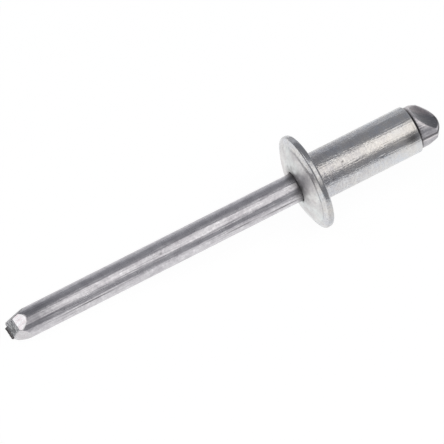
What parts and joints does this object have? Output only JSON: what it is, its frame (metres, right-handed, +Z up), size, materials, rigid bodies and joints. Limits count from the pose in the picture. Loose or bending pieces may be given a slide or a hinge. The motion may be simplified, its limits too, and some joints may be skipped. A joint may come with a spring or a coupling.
{
  "type": "blind rivet",
  "caption": "Dome-head steel blind rivet as supplied: tubular zinc-plated body threaded on a drawn-wire mandrel with a pinched tip and an upset head.",
  "frame": {"origin": "on the surface it lies on, under the middle of its outline", "axes": "+X along the rivet as it lies, from the mandrel's tip to the mandrel's head, +Z up"},
  "size_m": [0.0466, 0.0096, 0.0097],
  "materials": {
    "zinc_plate": "bright zinc plate over mild steel, fine mottle",
    "steel_wire": "plain drawn steel wire, grey"
  },
  "bodies": {
    "root": {"rivet_body": "zinc_plate", "mandrel": "steel_wire"}
  },
  "joints": []
}
